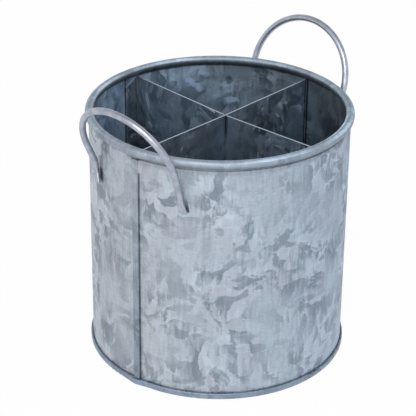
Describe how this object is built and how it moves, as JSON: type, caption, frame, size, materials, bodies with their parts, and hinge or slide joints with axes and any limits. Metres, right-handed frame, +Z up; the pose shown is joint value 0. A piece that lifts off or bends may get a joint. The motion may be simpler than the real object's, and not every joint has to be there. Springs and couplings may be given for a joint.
{
  "type": "cutlery holder",
  "caption": "Round galvanised sheet-steel cutlery caddy with a wired rim, lock seam, crossed dividers forming open compartments, and a bent wire carrying handle at each end",
  "frame": {"origin": "the middle of the base's flat underside, on the axis of the round wall", "axes": "+Z up along the wall's axis; the long divider lies along X; the front handle and the lock seam are at -X, the rear handle at +X"},
  "size_m": [0.1783, 0.1538, 0.1797],
  "materials": {
    "galvanised_sheet": "satin",
    "divider_sheet": "satin",
    "rim_wire": "satin",
    "handle_wire": "satin"
  },
  "bodies": {
    "root": {"body_wall": "galvanised_sheet", "base": "galvanised_sheet", "long_divider": "divider_sheet", "cross_divider": "divider_sheet", "rim_wire": "rim_wire", "front_handle": "handle_wire", "rear_handle": "handle_wire"}
  },
  "joints": []
}
